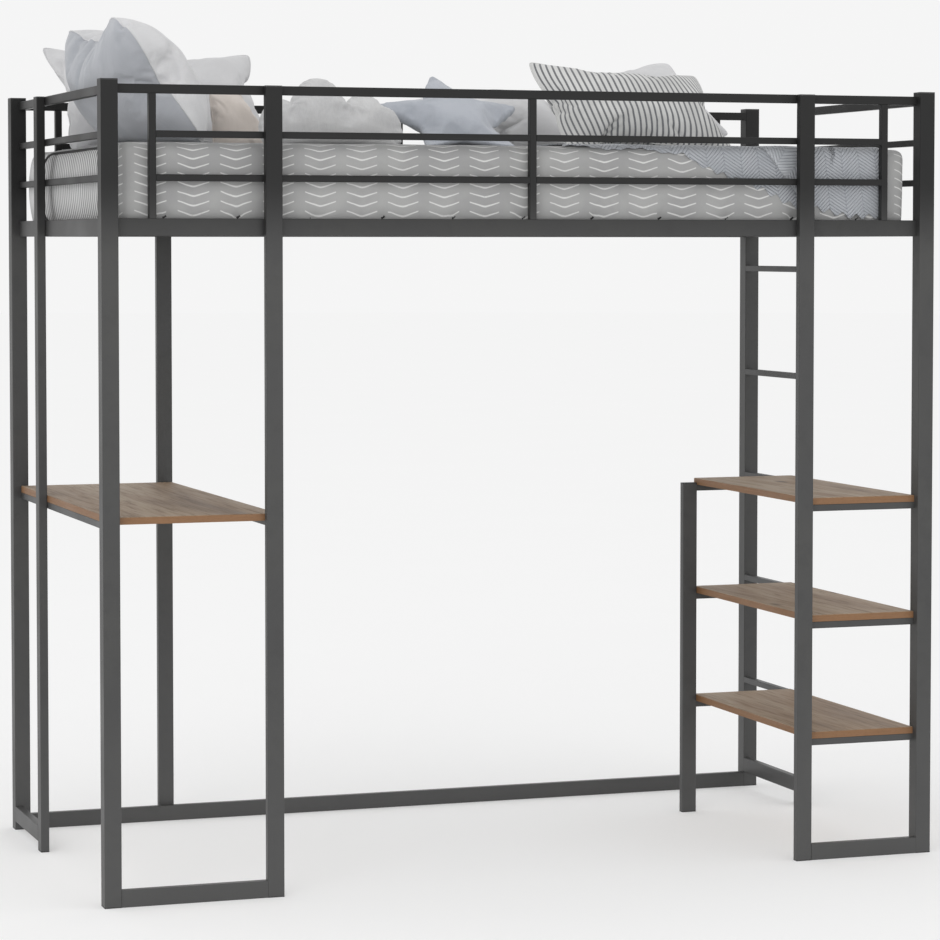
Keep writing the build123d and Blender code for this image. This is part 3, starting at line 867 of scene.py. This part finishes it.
def mattress():
    middle, half = MATTRESS_CENTRE, MATTRESS_HALF
    vertices, faces = rounded_block(half, MATTRESS_ROUND, 0.0135)
    piece = new_piece("mattress_cover", vertices + middle, faces)
    points, outward = coordinates(piece), normals(piece)
    local = points - middle
    level = local[:, 2] / half[2]
    side = 1 - np.clip(np.abs(outward[:, 2]), 0, 1)
    push = 0.0022 * side * np.cos(level * math.pi / 2)
    ends = smooth_step(np.abs(outward[:, 0]), 0.5, 0.9)
    bulge = np.where(local[:, 0] < 0, END_BULGE[-1], END_BULGE[1])
    push += bulge * ends * np.cos(level * math.pi / 2)
    push -= 0.012 * ends * smooth_step(-level, -0.2, 1.0) * (local[:, 0] > 0)
    push += 0.0012 * ripple(local, 0.070, 1) * side
    push += 0.0022 * ripple(local, 0.160, 2) * (1 - side)
    # Pinches along the lower edge, where the cover is gathered under the mattress.
    along = (local[:, 0] - GATHER_START) / GATHER_PITCH
    nearest = (along - np.round(along)) * GATHER_PITCH
    height = local[:, 2] + half[2] - 0.022
    front = smooth_step(np.abs(outward[:, 1]), 0.4, 0.8)
    pinch = np.exp(-(nearest**2) / 0.009**2 - height**2 / 0.012**2)
    folds = np.exp(-np.abs(nearest) / 0.030) * np.exp(-np.clip(height, 0, 1) / 0.035)
    push -= front * (0.007 * pinch + 0.0020 * folds * np.cos(nearest / 0.0045))
    points += outward * push[:, None]
    set_coordinates(piece, points)
    piece.data.materials.append(MATERIALS["mattress_cover"])
    refine(piece)
    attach(piece, "mattress")
    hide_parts("mattress")
    end_piping("left", -1)
    end_piping("right", 1)
    gather_threads()


def rounded_rectangle(half_wide, half_high, corner, step):
    """Points round a rectangle with oval corners (wide and high), about a step apart."""
    points = []
    for quarter, (sx, sz) in enumerate(((1, 1), (-1, 1), (-1, -1), (1, -1))):
        centre = (sx * (half_wide - corner[0]), sz * (half_high - corner[1]))
        for k in range(7):
            angle = math.pi / 2 * (quarter + k / 6)
            reach = (corner[0] * math.cos(angle), corner[1] * math.sin(angle))
            points.append((centre[0] + reach[0], centre[1] + reach[1]))
    closed = points + points[:1]
    dense = []
    for start, end in zip(closed, closed[1:]):
        length = math.dist(start, end)
        count = max(1, int(length / step))
        for k in range(count):
            dense.append([start[i] + (end[i] - start[i]) * k / count for i in (0, 1)])
    return dense


def end_piping(name, sign):
    """The dark cord round the ribbed panel at one end of the mattress."""
    middle, half = MATTRESS_CENTRE, MATTRESS_HALF
    line = rounded_rectangle(PIPING_HALF, half[2] - 0.009, (0.075, 0.032), 0.012)
    points = []
    for y, z in line:
        drawn = max(0.0, abs(z) - (half[2] - MATTRESS_ROUND))
        round_off = MATTRESS_ROUND - math.sqrt(max(0.0, MATTRESS_ROUND**2 - drawn**2))
        out = END_BULGE[sign] * math.cos(z / half[2] * math.pi / 2) + 0.0015 - round_off
        x = middle[0] + sign * (half[0] + out)
        points.append((x, middle[1] + PIPING_MIDDLE + y, middle[2] + z - 0.001))
    vertices, faces = tube_along(points, 0.0036)
    cord = new_piece(f"mattress_piping_{name}", vertices, faces)
    cord.data.materials.append(dark_cord())
    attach(cord, "mattress")


def gather_threads():
    """A short dark stitch in each pinch of the cover, front and rear."""
    middle, half = MATTRESS_CENTRE, MATTRESS_HALF
    vertices, faces = [], []
    count = int(half[0] / GATHER_PITCH)
    for side in (-1, 1):
        for k in range(-count, count + 1):
            x = middle[0] + GATHER_START + k * GATHER_PITCH
            if abs(x - middle[0]) > half[0] - 0.060:
                continue
            y = middle[1] + side * (half[1] - 0.0050)
            z = MATTRESS_LOW[2] + 0.020
            line = [(x - 0.004, y, z - 0.002), (x, y - side * 0.001, z), (x + 0.004, y, z + 0.003)]
            made, sides = tube_along(line, 0.0026, closed=False)
            start = len(vertices)
            vertices += list(made)
            faces += [tuple(start + index for index in face) for face in sides]
    piece = new_piece("mattress_stitches", vertices, faces)
    piece.data.materials.append(dark_cord())
    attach(piece, "mattress")


# ---- throw -----------------------------------------------------------------------------
EDGE = 0.018             # radius with which the throw turns over the mattress's edge
WIDE_FROM = 0.747        # the throw reaches far back on the ladder side of this X
TOOTH = 0.034            # length of one tooth of the pinked edge
TOOTH_DEPTH = 0.0080
# Where the throw begins behind the front edge: at the ladder end, and along the strip.
TOP_BACK = -(THROW_HIGH[1] - 0.006 - MATTRESS_LOW[1] - EDGE)
STRIP_BACK = -0.215
# How far below the mattress's top edge the throw hangs, at places along X.
HANG_X = (0.080, 0.260, 0.375, 0.415, 0.500, 0.600, 0.660, 0.750, 0.890)
HANG = (0.000, 0.008, 0.014, 0.044, 0.068, 0.110, 0.132, 0.150, 0.163)
# A turned-over part begins along this line, given by its X at two distances over the edge: there the
# knit's pattern turns, with a painted shadow and a painted highlight beside it, and the cloth itself
# stays flat.
FOLD = (0.585, 0.662)
FOLD_ALONG = (0.020, 0.115)
FOLD_END = 0.690


def over_edge(along, lift):
    """Y and Z of a point of the throw: along is measured forwards over the round front edge."""
    front, top = MATTRESS_LOW[1], MATTRESS_HIGH[2]
    quarter = EDGE * math.pi / 2
    if along <= 0:
        return front + EDGE - along, top + lift
    if along <= quarter:
        angle = along / EDGE
        reach = EDGE + lift
        return front + EDGE - reach * math.sin(angle), top - EDGE + reach * math.cos(angle)
    return front - lift, top - EDGE - (along - quarter)


def saw(distance):
    """The pinked edge: from -1 to 1 and back in each tooth."""
    return 1 - 4 * abs((distance / TOOTH) % 1.0 - 0.5)


def rise(x, along, seed):
    """How much the throw stands off what it lies on: low folds and a few ridges."""
    folds = 0.0040 * (noise.noise(Vector((x * 9.0, along * 4.0, seed))) + 0.35)
    ridge = 0.012 * noise.noise(Vector((x * 5.0 + along * 3.0, along * 7.0, seed + 5.0)))
    return max(0.0, folds) + max(0.0, ridge)


def back_edge(x):
    """How far behind the mattress's front edge the throw begins, negative towards the rear."""
    # The ladder end lies flat far back, and the rest is a strip along the front edge.
    widen = float(smooth_step(x, WIDE_FROM, WIDE_FROM + 0.018))
    tooth = 0.5 * TOOTH_DEPTH * saw(x + 0.4 * TOOTH) * (1 - 2 * widen * (1 - widen))
    return STRIP_BACK + (TOP_BACK - STRIP_BACK) * widen + tooth


def front_edge(x):
    """How far over the front edge the throw ends, with its pinked teeth."""
    drop = float(np.interp(x, HANG_X, HANG))
    tooth = TOOTH_DEPTH * (0.25 + 0.75 * float(smooth_step(drop, 0.020, 0.070)))
    return EDGE * (math.pi / 2 - 1) + drop + 0.003 * math.sin(x * 41.0) + tooth * saw(x)


def stand_off(x, along, share):
    """How far a point of the throw stands off the mattress."""
    on_top = 1 - float(smooth_step(along, -0.02, 0.03))
    clear = float(smooth_step(x, WIDE_FROM + 0.02, WIDE_FROM + 0.06))
    clear = min(1.0, clear + float(smooth_step(along, -0.19, -0.15)))
    curl = float(smooth_step(share, 0.90, 1.0)) * (0.5 + noise.noise(Vector((x * 30.0, 2.0, 1.0))))
    lift = 0.0016 + on_top * clear * (rise(x, along, 3.0) + 0.006 * max(0.0, curl))
    return lift + (1 - on_top) * 0.0011 * (1 + math.sin(x * 52.0 + along * 20.0))


def cloth_place(x, along):
    """Where a point lies on the flat knit, and how near it is to the turned-over part's edge, signed by
    side, for the painted shadow and painted highlight there.
    """
    share = (along - FOLD_ALONG[0]) / (FOLD_ALONG[1] - FOLD_ALONG[0])
    past = x - FOLD[0] - (FOLD[1] - FOLD[0]) * share
    near = float(smooth_step(along, FOLD_ALONG[0] - 0.05, FOLD_ALONG[0]))
    near *= 1 - float(smooth_step(along, FOLD_ALONG[1], FOLD_ALONG[1] + 0.03))
    if past < 0:
        return x - 0.12 * along, along + 0.12 * x, -near * math.exp(past / 0.014)
    if x > FOLD_END:
        return x - 0.12 * along, along + 0.12 * x, 0.0
    return 0.80 * x + 0.60 * along, 0.80 * along - 0.60 * x, near * math.exp(-past / 0.022)


def throw():
    left, right = THROW_LOW[0] - 0.008, THROW_HIGH[0] - 0.008
    columns = int(round((right - left) / (TOOTH / 8)))
    rows = 150
    vertices, across, down, fold, faces = [], [], [], [], []
    for i in range(columns + 1):
        x = left + (right - left) * i / columns
        back, end = back_edge(x), front_edge(x)
        for j in range(rows + 1):
            share = 1 - (1 - j / rows) ** 1.35
            along = back + (end - back) * share
            y, z = over_edge(along, stand_off(x, along, share))
            shift = 0.0
            if i in (0, columns):
                shift = TOOTH_DEPTH * saw(along) * (-1 if i == 0 else 1)
            vertices.append((x + shift, y, z))
            for values, value in zip((across, down, fold), cloth_place(x, along)):
                values.append(value)
    for i in range(columns):
        for j in range(rows):
            a = i * (rows + 1) + j
            b = a + rows + 1
            faces.append((a, a + 1, b + 1, b))
    piece = new_piece("throw_knit", vertices, faces, {"cloth_u": across, "cloth_v": down, "fold": fold})
    thick = piece.modifiers.new("Thickness", "SOLIDIFY")
    thick.thickness = 0.0014
    thick.offset = 1.0
    piece.data.materials.append(MATERIALS["throw_knit"])
    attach(piece, "mattress")
    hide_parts("throw_blanket")


# ---- stage, light and camera ----------------------------------------------------------
FLOOR_GLOW = 0.265       # brings the far floor up to the brightness of the backdrop


def floor():
    """A wide pale disc under the bed."""
    rings, segments, reach = 24, 96, 60.0
    vertices, faces = [(0.0, 0.0, 0.0)], []
    for ring in range(1, rings + 1):
        radius = reach * (ring / rings) ** 2.2
        for k in range(segments):
            angle = 2 * math.pi * k / segments
            vertices.append((radius * math.cos(angle), radius * math.sin(angle), 0.0))
    for ring in range(rings):
        for k in range(segments):
            after = (k + 1) % segments
            if ring == 0:
                faces.append((0, 1 + k, 1 + after))
            else:
                start, outer = 1 + (ring - 1) * segments, 1 + ring * segments
                faces.append((start + k, outer + k, outer + after, start + after))
    piece = new_piece("studio_floor", vertices, faces)
    n = Nodes("studio_floor")
    cloudy = n.noise(n.place(), 1.5, 2.0)
    colour = n.mix(cloudy, grey(0.695), grey(0.705))
    n.shader.inputs["Emission Color"].default_value = (1.0, 1.0, 1.0, 1.0)
    material = n.finish(colour, 0.9, None, Specular_IOR_Level=0.0, Emission_Strength=FLOOR_GLOW)
    piece.data.materials.append(material)


def area_light(name, place, aim, size, power):
    data = bpy.data.lights.new(name, "AREA")
    data.shape = "RECTANGLE"
    data.size, data.size_y = size
    data.energy = power
    light = bpy.data.objects.new(name, data)
    bpy.context.scene.collection.objects.link(light)
    light.location = place
    light.rotation_euler = (Vector(aim) - Vector(place)).to_track_quat("-Z", "Y").to_euler()
    light.visible_camera = False


def studio_light():
    world = bpy.data.worlds.new("studio")
    bpy.context.scene.world = world
    world.use_nodes = True
    background = world.node_tree.nodes["Background"]
    background.inputs["Color"].default_value = (0.915, 0.915, 0.915, 1.0)
    background.inputs["Strength"].default_value = 1.0
    area_light("key", (-4.5, -5.5, 3.6), (0, 0, 1.4), (3.0, 3.0), 70.0)
    area_light("low", (1.5, -6.0, 0.9), (0, 0, 0.5), (4.0, 1.2), 26.0)
    view = bpy.context.scene.view_settings
    view.view_transform = "Standard"


def camera():
    """Eye height just under the mattress, from the front and the desk's side."""
    turn, tilt = 19.138, 2.694
    data = bpy.data.cameras.new("camera")
    data.sensor_width = 36.0
    data.lens = 122.89
    data.shift_y = -0.08
    data.clip_end = 200.0
    eye = bpy.data.objects.new("camera", data)
    bpy.context.scene.collection.objects.link(eye)
    eye.location = (-2.5193, -7.3211, 1.4466)
    eye.rotation_euler = (math.radians(90.0 - tilt), 0.0, math.radians(-turn))
    bpy.context.scene.camera = eye


camera()
studio_light()
floor()
paint_frame()
mattress()
throw()
make_cushions()
finish_cushions()
